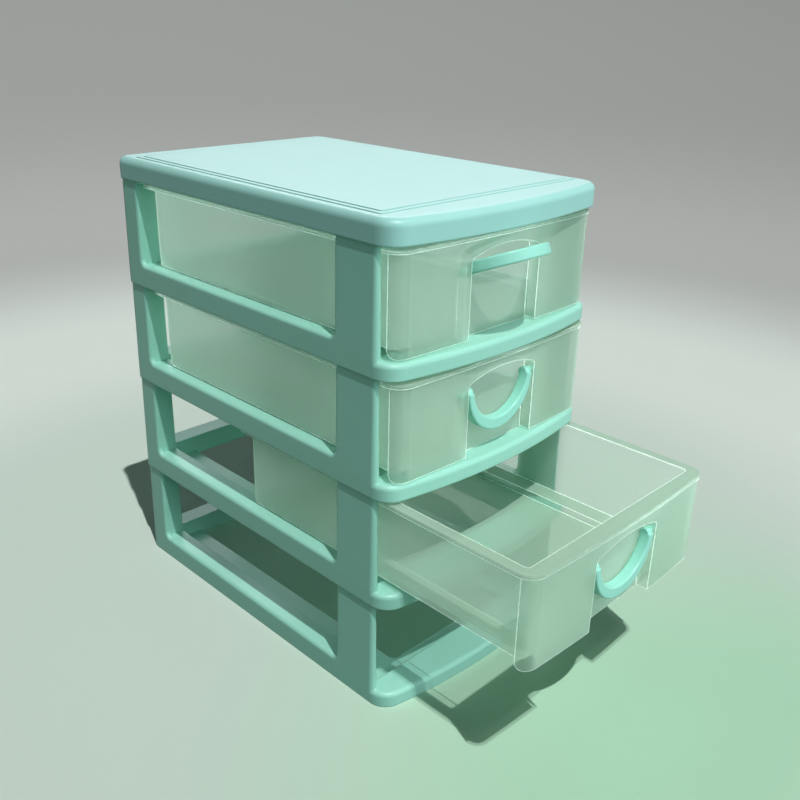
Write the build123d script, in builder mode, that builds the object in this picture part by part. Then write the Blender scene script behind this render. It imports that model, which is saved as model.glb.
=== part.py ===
from build123d import *
from math import atan, cos, degrees, radians, sin
import os

# A desktop cabinet of four stacked tiers, with three translucent drawers and their bail handles.
# Millimetres, +Z up. The front faces -Y. The origin is on the ground, at the middle of the
# straight-sided plan. The lowest bay is empty, the drawer above it stands open and the top
# drawer's handle is raised.

# Cabinet
width = 120.0
depth = 177.0
front_bow = 6.5
front_corner_radius = 9.0
rear_corner_radius = 6.0
tier_count = 4
tier_pitch = 48.0
post_draft = 0.6
cabinet_wall = 2.5
inner_wall = 1.5

# Base ring of a tier
lip_height = 6.5
lip_depth = 10.0
lip_round = 2.0
rail_height = 10.0
rail_width = 10.0
rail_nose_radius = 5.0
flange_height = 2.4
front_flange_width = 8.0
side_flange_width = 14.0
floor_corner_radius = 3.0

# Posts of a tier, and the tongues that plug them into the piece above
front_post_depth = 28.5
post_setback = 6.2
post_edge_radius = 2.2
rear_post_depth = 15.5
window_corner_radius = 3.0
window_round = 1.4
tongue_height = 4.0
tongue_thickness = 1.1
front_tongue_length = 14.0
rear_tongue_length = 8.0
tongue_clearance = 0.1

# Lid, with a panel that stands up in two fine steps
lid_height = 9.4
lid_top_wall = 1.8
lid_round = 3.0
panel_side_margin = 4.6
panel_front_margin = 9.0
panel_rear_margin = 11.0
panel_step_height = 0.3
panel_step_width = 2.4
panel_corner_radius = 1.2

# Drawers, and how far out each one stands, from the lowest up
empty_tier_count = 1
drawer_pulls = (65.0, 1.8, 0.0)
drawer_wall = 1.4
lip_show = 4.0
skirt_bow = 1.8
skirt_inset = 0.6
skirt_gap = 1.0
skirt_corner_radius = 3.5
rim_gap = 1.5
rim_corner_radius = 7.0
rim_rear_radius = 3.0
rim_overhang = 3.6
rim_round = 0.5
side_clearance = 0.3
stop_clearance = 0.6
rail_clearance = 0.2
lip_clearance = 0.3
tub_corner_radius = 3.0
trough_gap = 5.0

# Handle pocket in a drawer's skirt
pocket_depth = 6.0
pocket_drop = 4.8
pocket_arch = 3.6
pocket_corner_radius = 2.0

# Bail handles, and how far up each one is turned, in degrees
handle_raise_angles = (0.0, 0.0, 112.0)
handle_width = 38.2
handle_side_gap = 0.9
handle_depth = 4.6
handle_grip = 5.0
handle_arm_width = 2.8
handle_round = 0.7
handle_forward = 0.6
eye_diameter = 3.8
pivot_setback = 3.8
pivot_drop = 4.6
pin_diameter = 2.6
pin_clearance = 0.08
pin_reach = 2.0

# How far cuts run past the faces that they open
overrun = 1.0

# Places worked out from the sizes above
front_line = -depth / 2
back_line = depth / 2
lip_back = front_line + lip_depth
post_front = front_line + post_setback
window_front = front_line + front_post_depth
window_back = back_line - rear_post_depth
post_inner = width / 2 - cabinet_wall
rail_inner = width / 2 - rail_width
rear_rail_inner = back_line - rail_width
front_limit = front_line - front_bow - overrun
draft_angle = degrees(atan(post_draft / (tier_pitch - lip_height)))

drawer_front = front_line - front_bow + lip_show
rim_half = post_inner - side_clearance
rim_back = window_back - stop_clearance
rim_top = tier_pitch - rim_gap
tub_half = rim_half - rim_overhang
tub_front = drawer_front + pocket_depth
tub_back = rim_back - rim_overhang
tub_bottom = lip_height + lip_clearance
ledge_bottom = rail_height + rail_clearance
trough_half = rail_inner - trough_gap
skirt_bottom = lip_height + skirt_gap
pocket_top = rim_top - pocket_drop
pocket_spring = pocket_top - pocket_arch
pivot_height = pocket_spring - pivot_drop
pocket_half = handle_width / 2 + handle_side_gap


def facing_front(base, y):
    """Upright plane at a given Y that faces the front, with its own Y as height above the base."""
    return Plane((0, y, base), x_dir=(1, 0, 0), z_dir=(0, -1, 0))


def across(half_width, start, end):
    """Draw a rectangle in the open sketch, across the middle, from one Y to another."""
    with Locations((0, (start + end) / 2)):
        Rectangle(2 * half_width, end - start)


def on_both_sides(inner, outer, start, end):
    """Draw two rectangles in the open sketch, one on each side of the middle."""
    with Locations(*[(side * (inner + outer) / 2, (start + end) / 2) for side in (-1, 1)]):
        Rectangle(outer - inner, end - start)


def bowed_outline(level, half_width, front, back, bow, front_radius, rear_radius):
    """Flat face with straight sides and back, a bowed front and round corners; front is at the middle."""
    with BuildSketch(Plane.XY.offset(level)) as outline:
        with BuildLine():
            face = ThreePointArc((-half_width, front + bow), (0, front), (half_width, front + bow))
            Polyline(face @ 1, (half_width, back), (-half_width, back), face @ 0)
        make_face()
        fillet(outline.vertices().group_by(Axis.Y)[0], front_radius)
        fillet(outline.vertices().group_by(Axis.Y)[-1], rear_radius)
    return outline.sketch


def cabinet_plan(level, inset=0.0):
    """The cabinet's outline at a level, drawn in by the given inset."""
    return bowed_outline(
        level,
        width / 2 - inset,
        front_line - front_bow + inset,
        back_line - inset,
        front_bow,
        front_corner_radius - inset,
        rear_corner_radius - inset,
    )


def post_plan(level):
    """The outline round the four posts at a level, set back from the lip."""
    with BuildSketch(Plane.XY.offset(level)) as plan:
        across(width / 2, post_front, back_line)
        fillet(plan.vertices().group_by(Axis.Y)[0], post_edge_radius)
        fillet(plan.vertices().group_by(Axis.Y)[-1], rear_corner_radius)
    return plan.sketch


def rim_plan(level, pull, inset=0.0):
    """A drawer rim's outline at a level, drawn in by the given inset."""
    return bowed_outline(
        level,
        rim_half - inset,
        drawer_front - pull + inset,
        rim_back - pull - inset,
        skirt_bow,
        rim_corner_radius - inset,
        rim_rear_radius - inset,
    )


def draw_tongues(clearance):
    """Draw the four tongues' plan in the open sketch, flush with the posts' inner faces."""
    inner = post_inner - clearance
    outer = post_inner + tongue_thickness + clearance
    front_middle = (lip_back + window_front) / 2
    rear_middle = (window_back + back_line) / 2
    for middle, length in ((front_middle, front_tongue_length), (rear_middle, rear_tongue_length)):
        reach = length / 2 + clearance
        on_both_sides(inner, outer, middle - reach, middle + reach)


def make_lip(base):
    """Front lip of a tier: a hollow bar behind the bowed front, with a rounded top edge."""
    with BuildPart() as lip:
        extrude(cabinet_plan(base), amount=lip_height)
        fillet(lip.faces().sort_by(Axis.Z)[-1].edges(), lip_round)
        extrude(cabinet_plan(base, cabinet_wall), amount=lip_height - inner_wall, mode=Mode.SUBTRACT)
        split(bisect_by=Plane.XZ.offset(-lip_back), keep=Keep.TOP)
        with BuildSketch(Plane.XY.offset(base)):
            across(post_inner, lip_back - inner_wall, lip_back)
        extrude(amount=lip_height)
    return lip.part


def make_tier(base):
    """One tier frame: base ring with lip, rails and floor flange, four posts and their tongues."""
    top = base + tier_pitch
    rail_top = base + rail_height
    with BuildPart() as frame:
        extrude(post_plan(base), amount=lip_height)
        extrude(post_plan(base + lip_height), amount=tier_pitch - lip_height, taper=draft_angle)

        # Bay for the drawer, open at the front, and the space between the rails
        with BuildSketch(Plane.XY.offset(rail_top)):
            across(post_inner, front_limit, window_back)
            across(rail_inner, window_back, back_line + overrun)
        extrude(amount=tier_pitch, mode=Mode.SUBTRACT)
        with BuildSketch(Plane.XY.offset(base - overrun)):
            across(post_inner, front_limit, lip_back)
        extrude(amount=tier_pitch, mode=Mode.SUBTRACT)
        with BuildSketch(Plane.XY.offset(base + flange_height)) as well:
            across(post_inner, lip_back - overrun, window_front)
            across(rail_inner, window_front, rear_rail_inner)
            noses = well.vertices().group_by(Axis.Y)[1].sort_by(Axis.X)[1:3]
            fillet(noses, rail_nose_radius)
        extrude(amount=tier_pitch, mode=Mode.SUBTRACT)

        # Opening in the floor, inside the flange and up to the rear rail
        with BuildSketch(Plane.XY.offset(base - overrun)) as opening:
            across(rail_inner - side_flange_width, lip_back + front_flange_width, rear_rail_inner)
            fillet(opening.vertices(), floor_corner_radius)
        extrude(amount=flange_height + 2 * overrun, mode=Mode.SUBTRACT)

        # Side windows, with their outer edges rounded
        with BuildSketch(Plane.YZ) as window:
            with Locations(((window_front + window_back) / 2, rail_top + tier_pitch / 2)):
                Rectangle(window_back - window_front, tier_pitch)
            fillet(window.vertices().group_by(Axis.Y)[0], window_corner_radius)
        extrude(amount=width, both=True, mode=Mode.SUBTRACT)
        rims = frame.edges().filter_by(
            lambda edge: abs(edge.center().X) > width / 2 - post_draft - tongue_clearance
            and window_front - tongue_clearance < edge.center().Y < window_back + tongue_clearance
            and edge.center().Z > rail_top - tongue_clearance
            and edge.center().Z < top - tongue_clearance
        )
        fillet(rims, window_round)

        # Rear posts are channels, open towards the bay
        with BuildSketch(Plane.XY.offset(rail_top)):
            on_both_sides(
                rail_inner - overrun, post_inner, window_back + inner_wall, back_line - cabinet_wall
            )
        extrude(amount=tier_pitch, mode=Mode.SUBTRACT)

        # Rails are hollow from below
        with BuildSketch(Plane.XY.offset(base)):
            on_both_sides(
                rail_inner + inner_wall,
                post_inner,
                window_front + rail_nose_radius,
                back_line - cabinet_wall,
            )
            across(post_inner, rear_rail_inner + inner_wall, back_line - cabinet_wall)
        extrude(amount=rail_height - inner_wall, mode=Mode.SUBTRACT)

        add(make_lip(base))

        # Tongues on the post tops, and the recesses that take those of the tier below
        with BuildSketch(Plane.XY.offset(top)):
            draw_tongues(0)
        extrude(amount=tongue_height)
        with BuildSketch(Plane.XY.offset(base)):
            draw_tongues(tongue_clearance)
        extrude(amount=tongue_height + tongue_clearance, mode=Mode.SUBTRACT)
    return frame.part


def make_lid(base):
    """Top cover: a shallow hollow cap with a bowed front, a rounded edge and a stepped panel."""
    with BuildPart() as lid:
        extrude(cabinet_plan(base), amount=lid_height)
        fillet(lid.faces().sort_by(Axis.Z)[-1].edges(), lid_round)
        extrude(
            cabinet_plan(base, cabinet_wall), amount=lid_height - lid_top_wall, mode=Mode.SUBTRACT
        )
        for step in range(2):
            margin = step * panel_step_width
            with BuildSketch(Plane.XY.offset(base + lid_height + step * panel_step_height)) as panel:
                across(
                    width / 2 - panel_side_margin - margin,
                    front_line + panel_front_margin + margin,
                    back_line - panel_rear_margin - margin,
                )
                fillet(panel.vertices(), panel_corner_radius)
            extrude(amount=panel_step_height)
        with BuildSketch(Plane.XY.offset(base)):
            draw_tongues(tongue_clearance)
        extrude(amount=tongue_height + tongue_clearance, mode=Mode.SUBTRACT)
    return lid.part


def make_tub(base, pull, skin):
    """Solid block in a drawer tub's shape, drawn in by the skin: wide above its ledges, narrow below."""
    side = tub_half - skin
    trough = trough_half - skin
    ledge = ledge_bottom + skin
    floor = tub_bottom + skin
    with BuildPart() as tub:
        with BuildSketch(facing_front(base, tub_back - pull - skin)):
            with BuildLine():
                Polyline(
                    (-side, rim_top),
                    (-side, ledge),
                    (-trough, ledge),
                    (-trough, floor),
                    (trough, floor),
                    (trough, ledge),
                    (side, ledge),
                    (side, rim_top),
                    close=True,
                )
            make_face()
        extrude(amount=tub_back - tub_front - 2 * skin)
        fillet(tub.edges().filter_by(Axis.Z).group_by(SortBy.LENGTH)[-1], tub_corner_radius - skin)
    return tub.part


def pocket_outline(base, y, wall):
    """Upright arched face of the handle pocket, drawn out by the given wall."""
    half = pocket_half + wall
    spring = pocket_spring + wall
    with BuildSketch(facing_front(base, y)) as pocket:
        with BuildLine():
            arch = ThreePointArc((-half, spring), (0, pocket_top + wall), (half, spring))
            Polyline(arch @ 1, (half, skirt_bottom), (-half, skirt_bottom), arch @ 0)
        make_face()
        shoulders = pocket.vertices().group_by(Axis.Y)[-1]
        fillet(shoulders, pocket_corner_radius + wall)
    return pocket.sketch


def make_drawer(base, pull):
    """One drawer: a thin tub with a flat rim, and a skirt with the handle pocket in front."""
    front = drawer_front - pull
    level = base + rim_top
    with BuildPart() as drawer:
        # Rim plate
        extrude(rim_plan(level, pull), amount=-drawer_wall)
        fillet(drawer.faces().sort_by(Axis.Z)[-1].edges(), rim_round)

        # Skirt in front, round the front corners
        skirt_top = level - drawer_wall
        skirt_height = skirt_top - base - skirt_bottom
        skirt = extrude(rim_plan(skirt_top, pull, skirt_inset), amount=-skirt_height, mode=Mode.PRIVATE)
        behind = extrude(
            rim_plan(skirt_top, pull, skirt_inset + drawer_wall), amount=-skirt_height, mode=Mode.PRIVATE
        )
        with BuildSketch(Plane.YZ, mode=Mode.PRIVATE) as side:
            with Locations((front + rim_corner_radius, base + skirt_bottom)):
                Rectangle(
                    rim_corner_radius + skirt_bow + overrun, skirt_height, align=(Align.MAX, Align.MIN)
                )
            fillet(side.vertices().group_by(Axis.X)[-1].sort_by(Axis.Y)[0], skirt_corner_radius)
        shape = extrude(side.sketch, amount=width, both=True, mode=Mode.PRIVATE)
        add((skirt - behind) & shape)

        # Pocket walls between the skirt and the tub's front wall, and the tub itself
        pocket_reach = pocket_depth - skirt_inset - drawer_wall / 2
        extrude(pocket_outline(base, tub_front - pull, drawer_wall), amount=pocket_reach)
        extrude(
            pocket_outline(base, tub_front - pull, 0), amount=pocket_depth + overrun, mode=Mode.SUBTRACT
        )
        add(make_tub(base, pull, 0))
        add(make_tub(base, pull, drawer_wall), mode=Mode.SUBTRACT)

        # Holes for the handle's pins
        with BuildSketch(Plane.YZ):
            with Locations((front + pivot_setback, base + pivot_height)):
                Circle(pin_diameter / 2 + pin_clearance)
        extrude(amount=pocket_half + drawer_wall + overrun, both=True, mode=Mode.SUBTRACT)
    return drawer.part


def make_handle(base, pull, raise_angle):
    """One bail handle: a crescent forward of its round arm ends, and the pins that it turns on."""
    pivot = (0, drawer_front - pull + pivot_setback, base + pivot_height)
    raised = radians(raise_angle)
    face = Plane(pivot, x_dir=(1, 0, 0), z_dir=(0, -cos(raised), sin(raised)))
    side = Plane(pivot, x_dir=face.y_dir, z_dir=(1, 0, 0))
    outer = handle_width / 2
    inner = outer - handle_arm_width
    pin_length = pocket_half + drawer_wall + pin_reach - inner
    with BuildPart() as handle:
        with BuildSketch(face.offset(handle_forward)):
            with BuildLine():
                back = ThreePointArc((-outer, 0), (0, -outer), (outer, 0))
                Line(back @ 1, (inner, 0))
                ThreePointArc((inner, 0), (0, handle_grip - outer), (-inner, 0))
                Line((-inner, 0), back @ 0)
            make_face()
        extrude(amount=handle_depth / 2, both=True)
        fillet(handle.edges().filter_by(GeomType.CIRCLE), handle_round)
        for end in (-1, 1):
            with BuildSketch(side.offset(end * inner)):
                Circle(eye_diameter / 2)
            extrude(amount=end * handle_arm_width)
            with BuildSketch(side.offset(end * inner)):
                Circle(pin_diameter / 2)
            extrude(amount=end * pin_length)
    return handle.part


def save(part, name):
    """Label a finished piece and write it."""
    part.label = name
    export_step(part, f"parts/{name}.step")


os.makedirs("parts", exist_ok=True)
save(make_lid(tier_count * tier_pitch), "lid")
for tier in range(tier_count):
    save(make_tier(tier * tier_pitch), f"tier_frame_{tier + 1}")
for tier, (pull, angle) in enumerate(zip(drawer_pulls, handle_raise_angles), start=empty_tier_count):
    save(make_drawer(tier * tier_pitch, pull), f"drawer_{tier + 1}")
    save(make_handle(tier * tier_pitch, pull, angle), f"handle_{tier + 1}")
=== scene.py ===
import math

import bpy
from mathutils import Matrix, Vector

bl_info = {
    "name": "Drawer Cabinet Dresser",
    "version": (1, 0, 0),
    "blender": (4, 5, 0),
    "location": "3D View > Sidebar > Cabinet",
    "description": "Finishes and stages a mint desktop cabinet with frosted drawers",
    "category": "Object",
}

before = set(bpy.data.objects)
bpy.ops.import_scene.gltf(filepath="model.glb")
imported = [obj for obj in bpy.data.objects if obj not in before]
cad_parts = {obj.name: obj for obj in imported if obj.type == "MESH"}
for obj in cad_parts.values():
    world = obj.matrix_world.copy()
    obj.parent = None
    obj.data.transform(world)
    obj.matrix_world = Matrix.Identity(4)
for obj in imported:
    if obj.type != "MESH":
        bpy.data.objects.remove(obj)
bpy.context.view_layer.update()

TIERS = sorted(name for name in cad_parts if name.startswith("tier_frame"))
DRAWERS = sorted(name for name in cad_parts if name.startswith("drawer"))
HANDLES = sorted(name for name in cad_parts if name.startswith("handle"))
MINT_PIECES = ["lid", *TIERS, *HANDLES]

MM = 0.001
POLYPROPYLENE_IOR = 1.49
BLACK = (0.0, 0.0, 0.0, 1.0)

# Studio sweep: the radii of its flat floor and of its rise, how far it rises, and its facets
SWEEP_REACH = 0.5
SWEEP_BEND = 1.2
SWEEP_TURN = math.radians(46)
SWEEP_STEPS = 24
SWEEP_SIDES = 96

# Key light: the way it shines, its strength, and the angle of sky that it fills
KEY_SHINES = (0.15, 0.44, -1.0)
KEY_POWER = 2.2
KEY_ANGLE = math.radians(0.7)

# Lamp panels: name, width and height, spread in degrees, power, place, the height that it faces on the
# cabinet's middle line, whether it gives diffuse light and gloss, and the pieces that it lights
PANEL_COLOUR = "#F2FAFF"
PANELS = (
    ("back", (0.7, 0.08), 24, 0.6, (0.57, 0.57, 0.17), 0.17, True, False, MINT_PIECES + DRAWERS),
    ("front", (0.5, 0.5), 120, 1.2, (0.3, -0.75, 0.35), 0.1, True, False, MINT_PIECES + DRAWERS),
    ("fill", (0.6, 0.6), 120, 1.1, (-0.25, -0.75, 0.7), 0.1, True, False, MINT_PIECES),
    ("sheen", (0.9, 0.5), 120, 2.2, (0.7, 0.7, 0.75), 0.1, False, True, MINT_PIECES),
)

# Studio air: its colour, and its strength as light and as background
AIR_COLOUR = "#E6EEF2"
AIR_LIGHT = 0.08
AIR_SEEN = 0.5

# Camera: degrees round the cabinet, above it and of roll, its place, and its focal length in pixels
CAMERA_ROUND, CAMERA_ABOVE, CAMERA_ROLL = -45.37, 23.12, 1.30
CAMERA_PLACE = Vector((-266.7, -298.8, 264.5)) * MM
CAMERA_NEAR = 0.01
FOCAL_PIXELS, PICTURE_PIXELS = 917.8, 800
SENSOR_WIDTH = 36


def colour(code):
    """An sRGB hex value as linear red, green, blue and a full alpha."""
    shares = [int(code[i : i + 2], 16) / 255 for i in (1, 3, 5)]
    linear = [c / 12.92 if c <= 0.04045 else ((c + 0.055) / 1.055) ** 2.4 for c in shares]
    return (*linear, 1.0)


def swatch(name, description, code):
    """A colour that a user would change, with its sRGB hex default."""
    return bpy.props.FloatVectorProperty(
        name=name, description=description, subtype="COLOR", size=4, min=0, max=1, default=colour(code)
    )


def add_node(tree, kind, settings, inputs):
    """Add a node, give it its settings, and set or link its inputs by name or number."""
    node = tree.nodes.new(kind)
    for name, value in settings.items():
        setattr(node, name, value)
    for name, value in inputs.items():
        if isinstance(value, bpy.types.NodeSocket):
            tree.links.new(value, node.inputs[name])
        else:
            node.inputs[name].default_value = value
    return node


def new_material(name):
    """An empty node material with its output, and the object coordinates that its patterns read."""
    material = bpy.data.materials.new(name)
    material.use_nodes = True
    tree = material.node_tree
    tree.nodes.clear()
    output = add_node(tree, "ShaderNodeOutputMaterial", {}, {})
    place = add_node(tree, "ShaderNodeTexCoord", {}, {}).outputs["Object"]
    return material, tree, output, place


def background_share(tree):
    """1 for rays that show the background, straight, in gloss or through glass, and 0 for its light."""
    sight = add_node(tree, "ShaderNodeLightPath", {}, {}).outputs
    seen = sight["Is Camera Ray"]
    for ray in ("Is Glossy Ray", "Is Transmission Ray"):
        either = add_node(tree, "ShaderNodeMath", {"operation": "MAXIMUM"}, {0: seen, 1: sight[ray]})
        seen = either.outputs["Value"]
    return seen


class CabinetLooks(bpy.types.PropertyGroup):
    # The lid's mint is the tiers' plastic made paler and bluer, a painted sheen on its top
    lid_mint_with_painted_sheen: swatch("Lid mint", "Colour of the lid", "#A3D9D0")
    mint: swatch("Mint", "Colour of the tier frames", "#9EDAC8")
    handle_mint: swatch("Handle mint", "Colour of the bail handles", "#9FE4D2")
    frost: swatch("Frost", "Colour of the frosted drawers", "#D8F1DE")
    # The drawers' edge colour is a painted highlight: whiter than the plastic, it also colours the light
    # added on the edges
    frost_edge_painted_highlight: swatch("Frost edge", "Colour of the drawers' edges, where light gathers", "#FAFFFC")
    paper: swatch("Paper", "Colour of the studio sweep near the cabinet", "#DCEBDF")
    # The far and top colours are painted shade, greyer where the rising paper gets less light
    paper_far_painted_shade: swatch("Paper, far", "Colour of the studio sweep where it rises", "#C4C6C3")
    paper_top_painted_shade: swatch("Paper, top", "Colour of the studio sweep near its top", "#AEB0AD")
    # A painted bright band on the sweep before it rises
    paper_painted_bright_band: swatch("Paper, band", "Colour of the studio sweep before it rises", "#F0FAF2")
    # A painted green cast of light on the sweep in front of the open drawer
    paper_painted_green_cast: swatch("Paper, green", "Colour of the studio sweep in front of the open drawer", "#C0EECD")
    paper_bounce: swatch("Paper, bounce", "Colour that the sweep throws back onto the cabinet", "#4C786C")
    edge_round: bpy.props.FloatProperty(
        name="Edge rounding", description="Radius that the mould leaves on sharp edges", unit="LENGTH",
        default=0.8 * MM, min=0.0,
    )
    # Real spark grain is about 0.15 mm wide, too fine to show, so it is drawn coarser
    grain: bpy.props.FloatProperty(
        name="Grain", description="Width of the mould's spark grain", unit="LENGTH", default=0.8 * MM,
        min=0.1 * MM,
    )
    flow: bpy.props.FloatProperty(
        name="Flow marks", description="Width of the faint flow marks in the plastic", unit="LENGTH",
        default=24 * MM, min=1 * MM,
    )


def soft_edges(tree, radius):
    """The rounded normal near edges, and a mask that is 1 on an edge and 0 on a plain face."""
    rounded = add_node(tree, "ShaderNodeBevel", {"samples": 6}, {"Radius": radius}).outputs["Normal"]
    plain = add_node(tree, "ShaderNodeNewGeometry", {}, {}).outputs["Normal"]
    turned = add_node(tree, "ShaderNodeVectorMath", {"operation": "DOT_PRODUCT"}, {0: rounded, 1: plain})
    mask = add_node(
        tree, "ShaderNodeMapRange", {},
        {"Value": turned.outputs["Value"], "From Min": 0.99, "From Max": 0.85},
    )
    return rounded, mask.outputs["Result"]


def moulded_polypropylene(name, looks, shade, rough, relief):
    """Polypropylene from a spark-finished mould: soft gloss, slight grain, faint flow marks, soft edges."""
    material, tree, output, place = new_material(name)
    flow = add_node(
        tree, "ShaderNodeTexNoise", {}, {"Vector": place, "Scale": 1 / looks.flow, "Detail": 2.0}
    )
    tone = add_node(
        tree, "ShaderNodeMapRange", {}, {"Value": flow.outputs["Fac"], "To Min": 0.96, "To Max": 1.03}
    )
    tint = add_node(
        tree, "ShaderNodeMix", {"data_type": "RGBA", "blend_type": "MULTIPLY"},
        {"Factor": 1.0, 6: tuple(shade), 7: tone.outputs["Result"]},
    )
    grit = add_node(
        tree, "ShaderNodeTexNoise", {}, {"Vector": place, "Scale": 1 / looks.grain, "Detail": 3.0}
    )
    # A rougher grain scatters the gloss more unevenly
    uneven = 0.4 * relief
    gloss = add_node(
        tree, "ShaderNodeMapRange", {},
        {"Value": grit.outputs["Fac"], "To Min": rough - uneven, "To Max": rough + uneven},
    )
    rounded = soft_edges(tree, looks.edge_round)[0]
    bump = add_node(
        tree, "ShaderNodeBump", {},
        {"Height": grit.outputs["Fac"], "Strength": relief, "Distance": 0.05 * MM, "Normal": rounded},
    )
    shader = add_node(
        tree, "ShaderNodeBsdfPrincipled", {},
        {
            "Base Color": tint.outputs[2],
            "Roughness": gloss.outputs["Result"],
            "Normal": bump.outputs["Normal"],
            "IOR": POLYPROPYLENE_IOR,
            "Subsurface Weight": 0.12,
            "Subsurface Radius": (0.6, 1.0, 0.9),
            "Subsurface Scale": 1.5 * MM,
        },
    )
    tree.links.new(shader.outputs["BSDF"], output.inputs["Surface"])
    return material


def frosted_polypropylene(looks):
    """Natural polypropylene, frosted by its mould: clear face on, milky at a slant, with a painted white
    highlight on its edges.
    """
    material, tree, output, place = new_material("polypropylene_frosted_moulded")
    grit = add_node(
        tree, "ShaderNodeTexNoise", {}, {"Vector": place, "Scale": 1 / looks.grain, "Detail": 3.0}
    )
    gloss = add_node(
        tree, "ShaderNodeMapRange", {}, {"Value": grit.outputs["Fac"], "To Min": 0.26, "To Max": 0.36}
    )
    # The drawers' thin walls have smaller rounds than the frames
    rounded, edge = soft_edges(tree, 0.6 * looks.edge_round)
    # Edges are painted whiter than the wall, a painted highlight along each edge
    tint = add_node(
        tree, "ShaderNodeMix", {"data_type": "RGBA"},
        {"Factor": edge, 6: tuple(looks.frost), 7: tuple(looks.frost_edge_painted_highlight)},
    )
    face = add_node(
        tree, "ShaderNodeBsdfPrincipled", {},
        {
            "Base Color": tint.outputs[2],
            "Roughness": gloss.outputs["Result"],
            "Normal": rounded,
            "IOR": POLYPROPYLENE_IOR,
        },
    )
    # Less light comes up through the floor and the rim than through the walls
    lying = add_node(tree, "ShaderNodeSeparateXYZ", {}, {"Vector": rounded}).outputs["Z"]
    lying = add_node(tree, "ShaderNodeMath", {"operation": "ABSOLUTE"}, {0: lying}).outputs["Value"]
    thick = add_node(tree, "ShaderNodeMapRange", {}, {"Value": lying, "To Min": 1.0, "To Max": 0.7})
    through = add_node(
        tree, "ShaderNodeMix", {"data_type": "RGBA", "blend_type": "MULTIPLY"},
        {"Factor": 1.0, 6: tint.outputs[2], 7: thick.outputs["Result"]},
    )
    glow = add_node(tree, "ShaderNodeBsdfTranslucent", {}, {"Color": through.outputs[2], "Normal": rounded})
    body = add_node(
        tree, "ShaderNodeMixShader", {}, {0: 0.5, 1: face.outputs["BSDF"], 2: glow.outputs["BSDF"]}
    )
    # Painted highlight: white light is added on the edges on top of the wall's own, for the light that the
    # wall leads to them
    painted_edge_light = add_node(
        tree, "ShaderNodeMix", {"data_type": "RGBA"}, {"Factor": edge, 6: BLACK, 7: tuple(looks.frost_edge_painted_highlight)}
    )
    for kind in ("ShaderNodeBsdfTranslucent", "ShaderNodeBsdfDiffuse"):
        line = add_node(tree, kind, {}, {"Color": painted_edge_light.outputs[2]})
        body = add_node(
            tree, "ShaderNodeAddShader", {}, {0: body.outputs["Shader"], 1: line.outputs["BSDF"]}
        )
    # A slanting look passes through more of the milky wall
    slant = add_node(tree, "ShaderNodeLayerWeight", {}, {"Blend": 0.5}).outputs["Facing"]
    milky = add_node(
        tree, "ShaderNodeMapRange", {"interpolation_type": "SMOOTHSTEP"},
        {"Value": slant, "From Min": 0.2, "From Max": 0.62, "To Min": 0.4, "To Max": 0.95},
    )
    solid = add_node(
        tree, "ShaderNodeMapRange", {}, {"Value": edge, "To Min": milky.outputs["Result"], "To Max": 0.97}
    )
    # Each wall counts once, at the face that it is entered by
    inner = add_node(tree, "ShaderNodeNewGeometry", {}, {}).outputs["Backfacing"]
    share = add_node(
        tree, "ShaderNodeMapRange", {}, {"Value": inner, "To Min": solid.outputs["Result"], "To Max": 0.0}
    )
    clear = add_node(tree, "ShaderNodeBsdfTransparent", {}, {})
    shader = add_node(
        tree, "ShaderNodeMixShader", {},
        {0: share.outputs["Result"], 1: clear.outputs["BSDF"], 2: body.outputs["Shader"]},
    )
    tree.links.new(shader.outputs["Shader"], output.inputs["Surface"])
    return material


def matte_paper(looks):
    """Seamless paper: no gloss, with a painted green cast by the open drawer, pale round the cabinet with a
    painted bright band, and painted shade that makes it greyer as it rises.
    """
    material, tree, output, place = new_material("paper_seamless_matte")
    tint = tuple(looks.paper)
    middle, before_drawer = (0.0, 0.0, 0.0), (0.01, -0.23, 0.0)
    # Each colour, the distances from a spot between which it comes in, and that spot
    # The green cast, the bright band and the greying are painted light and shade on plain paper
    for shade, start, whole, spot in (
        (looks.paper_painted_green_cast, 0.26, 0.06, before_drawer),
        (looks.paper_painted_bright_band, 0.2, 0.36, middle),
        (looks.paper_far_painted_shade, 0.42, 0.68, middle),
        (looks.paper_top_painted_shade, 0.68, 1.1, middle),
    ):
        away = add_node(tree, "ShaderNodeVectorMath", {"operation": "DISTANCE"}, {0: place, 1: spot})
        share = add_node(
            tree, "ShaderNodeMapRange", {"interpolation_type": "SMOOTHSTEP"},
            {"Value": away.outputs["Value"], "From Min": start, "From Max": whole},
        )
        mix = add_node(
            tree, "ShaderNodeMix", {"data_type": "RGBA"},
            {"Factor": share.outputs["Result"], 6: tint, 7: tuple(shade)},
        )
        tint = mix.outputs[2]
    shown = add_node(
        tree, "ShaderNodeMix", {"data_type": "RGBA"},
        {"Factor": background_share(tree), 6: tuple(looks.paper_bounce), 7: tint},
    )
    shader = add_node(
        tree, "ShaderNodeBsdfPrincipled", {}, {"Base Color": shown.outputs[2], "Roughness": 0.9}
    )
    tree.links.new(shader.outputs["BSDF"], output.inputs["Surface"])
    return material


def dress(names, material):
    """Give CAD nodes one material."""
    for name in names:
        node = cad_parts[name]
        node.data.materials.clear()
        node.data.materials.append(material)


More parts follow.
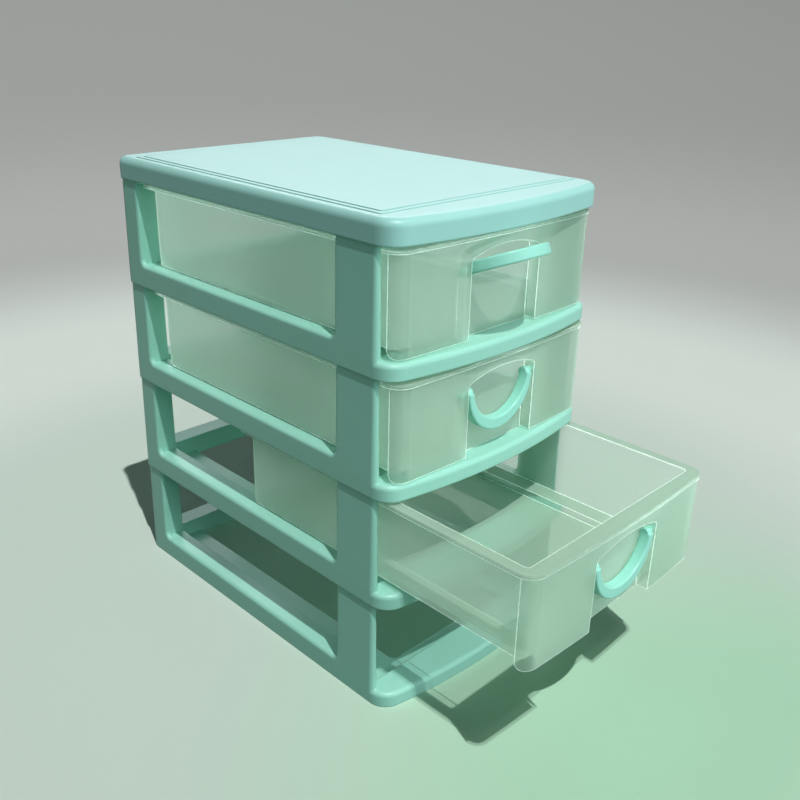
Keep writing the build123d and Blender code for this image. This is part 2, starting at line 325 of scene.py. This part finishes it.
def lay_sweep(context):
    """A round floor of paper that bends up into a rising rim."""
    bpy.ops.object.select_all(action="DESELECT")
    bpy.ops.mesh.primitive_circle_add(vertices=SWEEP_SIDES, radius=SWEEP_REACH, fill_type="NGON")
    floor = context.object
    floor.name = "studio_sweep"
    bpy.ops.object.mode_set(mode="EDIT")
    bpy.ops.mesh.select_mode(type="EDGE")
    bpy.ops.mesh.select_all(action="SELECT")
    bpy.ops.mesh.region_to_loop()
    reach, height = SWEEP_REACH, 0.0
    for step in range(1, SWEEP_STEPS + 1):
        turn = SWEEP_TURN * step / SWEEP_STEPS
        wide = SWEEP_REACH + SWEEP_BEND * math.sin(turn)
        high = SWEEP_BEND * (1 - math.cos(turn))
        bpy.ops.mesh.extrude_edges_move(TRANSFORM_OT_translate={"value": (0, 0, high - height)})
        bpy.ops.transform.resize(value=(wide / reach, wide / reach, 1))
        reach, height = wide, high
    bpy.ops.mesh.select_all(action="SELECT")
    bpy.ops.mesh.normals_make_consistent(inside=False)
    bpy.ops.object.mode_set(mode="OBJECT")
    bpy.ops.object.shade_smooth()
    floor.data.materials.append(matte_paper(context.scene.cabinet_looks))


def hang_lamp(scene, light, place, shines):
    """Hang a light at a place, shining in a direction."""
    lamp = bpy.data.objects.new(light.name, light)
    scene.collection.objects.link(lamp)
    lamp.location = place
    lamp.rotation_mode = "QUATERNION"
    lamp.rotation_quaternion = Vector(shines).to_track_quat("-Z", "Y")
    return lamp


def hang_lamps(scene):
    """The key light, and panels that light the cabinet alone, so that its shadow stays deep."""
    sun = bpy.data.lights.new("key", "SUN")
    sun.energy = KEY_POWER
    sun.angle = KEY_ANGLE
    hang_lamp(scene, sun, (0, 0, 0), KEY_SHINES)
    for name, size, spread, power, place, aim, diffuse, glossy, lit in PANELS:
        panel = bpy.data.lights.new(name, "AREA")
        panel.shape = "RECTANGLE"
        panel.size, panel.size_y = size
        panel.spread = math.radians(spread)
        panel.energy = power
        panel.color = colour(PANEL_COLOUR)[:3]
        lamp = hang_lamp(scene, panel, place, Vector((0, 0, aim)) - Vector(place))
        lamp.light_linking.receiver_collection = bpy.data.collections.new(name)
        for piece in lit:
            lamp.light_linking.receiver_collection.objects.link(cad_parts[piece])
        lamp.visible_camera = False
        lamp.visible_diffuse = diffuse
        lamp.visible_glossy = glossy


def fill_air(scene):
    """A world that gives little light and shows as a pale background."""
    world = bpy.data.worlds.new("studio")
    world.use_nodes = True
    tree = world.node_tree
    level = add_node(
        tree, "ShaderNodeMapRange", {},
        {"Value": background_share(tree), "To Min": AIR_LIGHT, "To Max": AIR_SEEN},
    )
    sky = tree.nodes["Background"]
    sky.inputs["Color"].default_value = colour(AIR_COLOUR)
    tree.links.new(level.outputs["Result"], sky.inputs["Strength"])
    scene.world = world


def set_camera(scene):
    """A camera at the photograph's place and turn, with its lens."""
    camera = bpy.data.objects.new("camera", bpy.data.cameras.new("camera"))
    scene.collection.objects.link(camera)
    az, el, roll = (math.radians(x) for x in (CAMERA_ROUND, CAMERA_ABOVE, CAMERA_ROLL))
    back = Vector((math.sin(az) * math.cos(el), -math.cos(az) * math.cos(el), math.sin(el)))
    right = Vector((math.cos(az), math.sin(az), 0))
    up = back.cross(right)
    across = math.cos(roll) * right + math.sin(roll) * up
    tall = math.cos(roll) * up - math.sin(roll) * right
    turn = Matrix((across, tall, back)).transposed()
    camera.matrix_world = Matrix.LocRotScale(CAMERA_PLACE, turn, None)
    camera.data.sensor_width = SENSOR_WIDTH
    camera.data.lens = FOCAL_PIXELS / PICTURE_PIXELS * SENSOR_WIDTH
    camera.data.clip_start = CAMERA_NEAR
    scene.camera = camera


class CABINET_OT_frame(bpy.types.Operator):
    """Finish the lid and the tier frames in mint polypropylene"""

    bl_idname = "cabinet.frame"
    bl_label = "Frame"

    def execute(self, context):
        looks = context.scene.cabinet_looks
        for names, finish, shade in (
            # The lid's paler, bluer copy of the mint is a painted sheen
            (["lid"], "polypropylene_satin_lid", looks.lid_mint_with_painted_sheen),
            (TIERS, "polypropylene_satin_tiers", looks.mint),
        ):
            dress(names, moulded_polypropylene(finish, looks, shade, rough=0.38, relief=0.12))
        return {"FINISHED"}


class CABINET_OT_drawers(bpy.types.Operator):
    """Finish the drawers in frosted polypropylene"""

    bl_idname = "cabinet.drawers"
    bl_label = "Drawers"

    def execute(self, context):
        dress(DRAWERS, frosted_polypropylene(context.scene.cabinet_looks))
        return {"FINISHED"}


class CABINET_OT_handles(bpy.types.Operator):
    """Finish the bail handles in smooth, glossy polypropylene"""

    bl_idname = "cabinet.handles"
    bl_label = "Handles"

    def execute(self, context):
        looks = context.scene.cabinet_looks
        finish = "polypropylene_glossy_moulded"
        dress(HANDLES, moulded_polypropylene(finish, looks, looks.handle_mint, rough=0.27, relief=0.02))
        return {"FINISHED"}


class CABINET_OT_stage(bpy.types.Operator):
    """Set the studio floor, the light and the camera"""

    bl_idname = "cabinet.stage"
    bl_label = "Stage"

    def execute(self, context):
        lay_sweep(context)
        hang_lamps(context.scene)
        fill_air(context.scene)
        set_camera(context.scene)
        context.scene.view_settings.view_transform = "Standard"
        return {"FINISHED"}


class CABINET_PT_panel(bpy.types.Panel):
    bl_label = "Drawer cabinet"
    bl_idname = "CABINET_PT_panel"
    bl_space_type = "VIEW_3D"
    bl_region_type = "UI"
    bl_category = "Cabinet"

    def draw(self, context):
        looks = context.scene.cabinet_looks
        for name in CabinetLooks.__annotations__:
            self.layout.prop(looks, name)
        for operator in (CABINET_OT_frame, CABINET_OT_drawers, CABINET_OT_handles, CABINET_OT_stage):
            self.layout.operator(operator.bl_idname)


CLASSES = (
    CabinetLooks,
    CABINET_OT_frame,
    CABINET_OT_drawers,
    CABINET_OT_handles,
    CABINET_OT_stage,
    CABINET_PT_panel,
)


def register():
    for cls in CLASSES:
        bpy.utils.register_class(cls)
    bpy.types.Scene.cabinet_looks = bpy.props.PointerProperty(type=CabinetLooks)


def unregister():
    del bpy.types.Scene.cabinet_looks
    for cls in reversed(CLASSES):
        bpy.utils.unregister_class(cls)


def main():
    register()
    bpy.ops.cabinet.frame()
    bpy.ops.cabinet.drawers()
    bpy.ops.cabinet.handles()
    bpy.ops.cabinet.stage()


if __name__ == "__main__":
    main()
